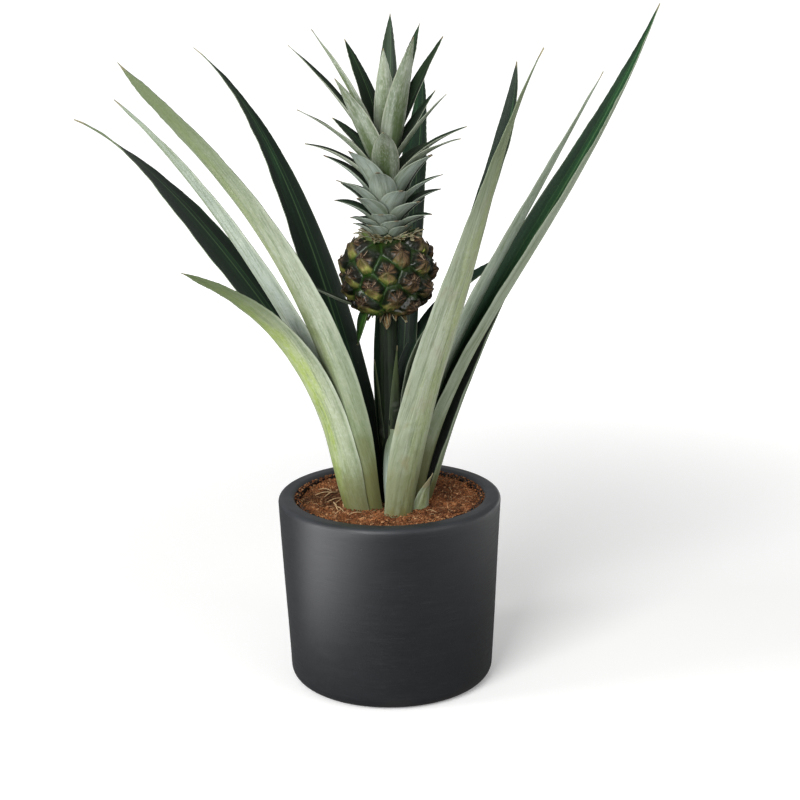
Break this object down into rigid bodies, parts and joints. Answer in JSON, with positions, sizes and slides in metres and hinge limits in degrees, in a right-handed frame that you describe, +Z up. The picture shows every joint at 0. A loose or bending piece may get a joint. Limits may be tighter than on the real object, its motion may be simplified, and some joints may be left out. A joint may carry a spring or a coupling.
{
  "type": "potted pineapple plant",
  "caption": "Ornamental pineapple plant with one small crowned fruit on a stalk among long sword-shaped leaves, in a plain round matte pot.",
  "frame": {"origin": "centre of the pot's flat foot, on the surface it stands on", "axes": "+Z up; +Y away from the viewer of the picture; +X to the viewer's right"},
  "size_m": [0.3819, 0.2673, 0.4339],
  "materials": {
    "ceramic": "matte charcoal ceramic with faint turned lines",
    "black_plastic": "thin black plastic",
    "soil": "rough, fibrous reddish-brown potting soil",
    "stalk": "dull dark green, fleshy",
    "fruit": "knobbly unripe rind, green grooves and brown dry bracts",
    "crown": "grey-green with a fine silver bloom",
    "leaf": "dark green above, silver-green below"
  },
  "bodies": {
    "root": {"pot": "ceramic", "nursery_pot": "black_plastic", "soil": "soil", "stem_and_stalk": "stalk", "fruit": "fruit", "crown": "crown", "leaf_low_left": "leaf", "leaf_low_right": "leaf", "leaf_right_stub": "leaf", "leaf_front_right": "leaf", "leaf_left_broad": "leaf", "leaf_front_left": "leaf", "leaf_left_narrow": "leaf", "leaf_back_left": "leaf", "leaf_right_broad": "leaf", "leaf_front_stub": "leaf", "leaf_right_narrow": "leaf", "leaf_back_right": "leaf", "leaf_back": "leaf", "leaf_right_short": "leaf"}
  },
  "joints": []
}
